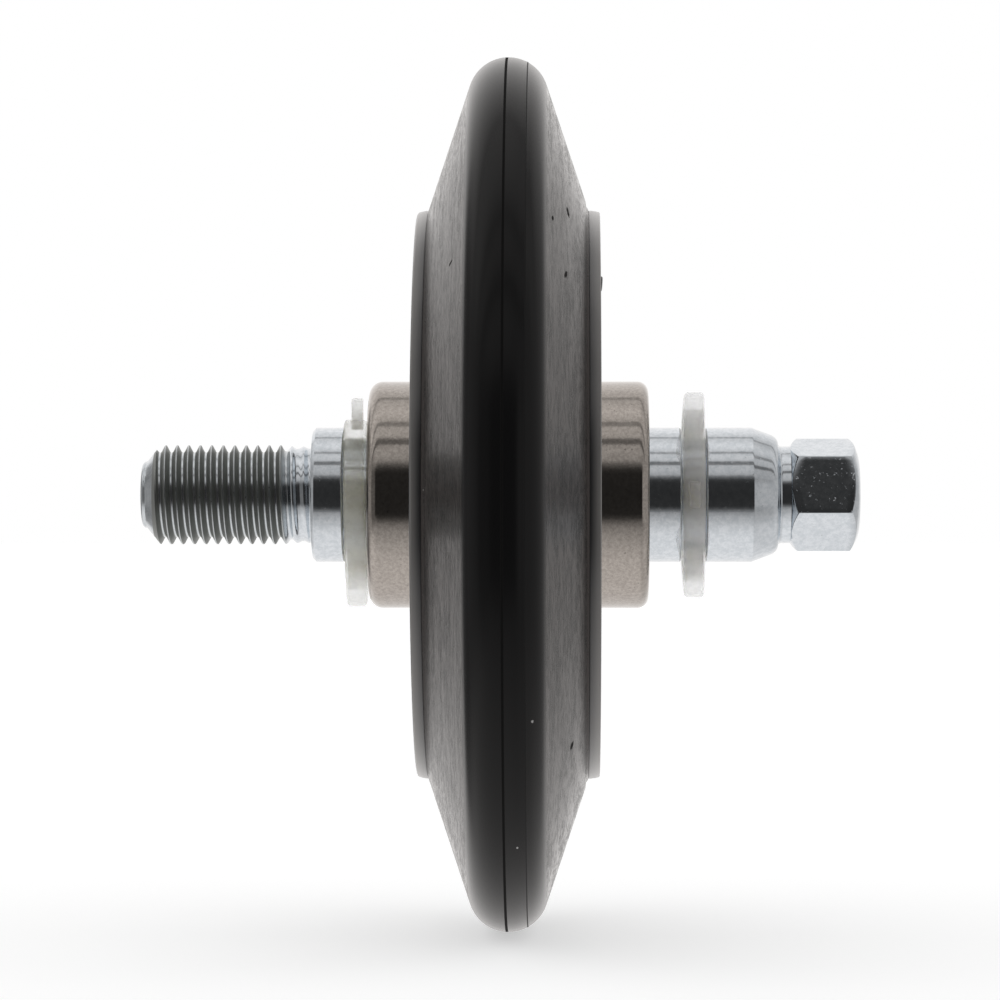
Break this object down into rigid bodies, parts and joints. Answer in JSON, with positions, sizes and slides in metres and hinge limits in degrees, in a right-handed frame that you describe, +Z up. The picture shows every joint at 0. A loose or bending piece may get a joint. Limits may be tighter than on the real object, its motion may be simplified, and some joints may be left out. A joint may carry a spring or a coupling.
{
  "type": "dryer roller wheel",
  "caption": "Rubber-tyred drum support roller on a sintered bush, turning on a threaded steel shaft between triangular retaining rings.",
  "frame": {"origin": "centre of the wheel, on its axis and midway between the hub's faces", "axes": "+Y along the axis towards the hexagon, -Y towards the thread, +Z up"},
  "size_m": [0.0962, 0.0795, 0.0962],
  "materials": {
    "tyre": "moulded black rubber, matt and slightly dusty",
    "hub": "moulded dark grey plastic, satin",
    "bush": "sintered metal, matt and granular",
    "shaft": "turned steel with bright zinc plating",
    "inner_retaining_ring": "natural translucent plastic",
    "outer_retaining_ring": "natural translucent plastic"
  },
  "bodies": {
    "shaft": {"shaft": "shaft", "inner_retaining_ring": "inner_retaining_ring", "outer_retaining_ring": "outer_retaining_ring"},
    "bush": {"bush": "bush"},
    "wheel": {"hub": "hub", "tyre": "tyre"}
  },
  "joints": [
    {"name": "wheel_float", "type": "slide", "parent": "shaft", "child": "bush", "axis": [0, 1, 0], "range_m": [-0.0001, 0.00365]},
    {"name": "wheel_spin", "type": "hinge", "parent": "bush", "child": "wheel", "pos_m": [0, 0, 0], "axis": [0, 1, 0], "continuous": true}
  ]
}
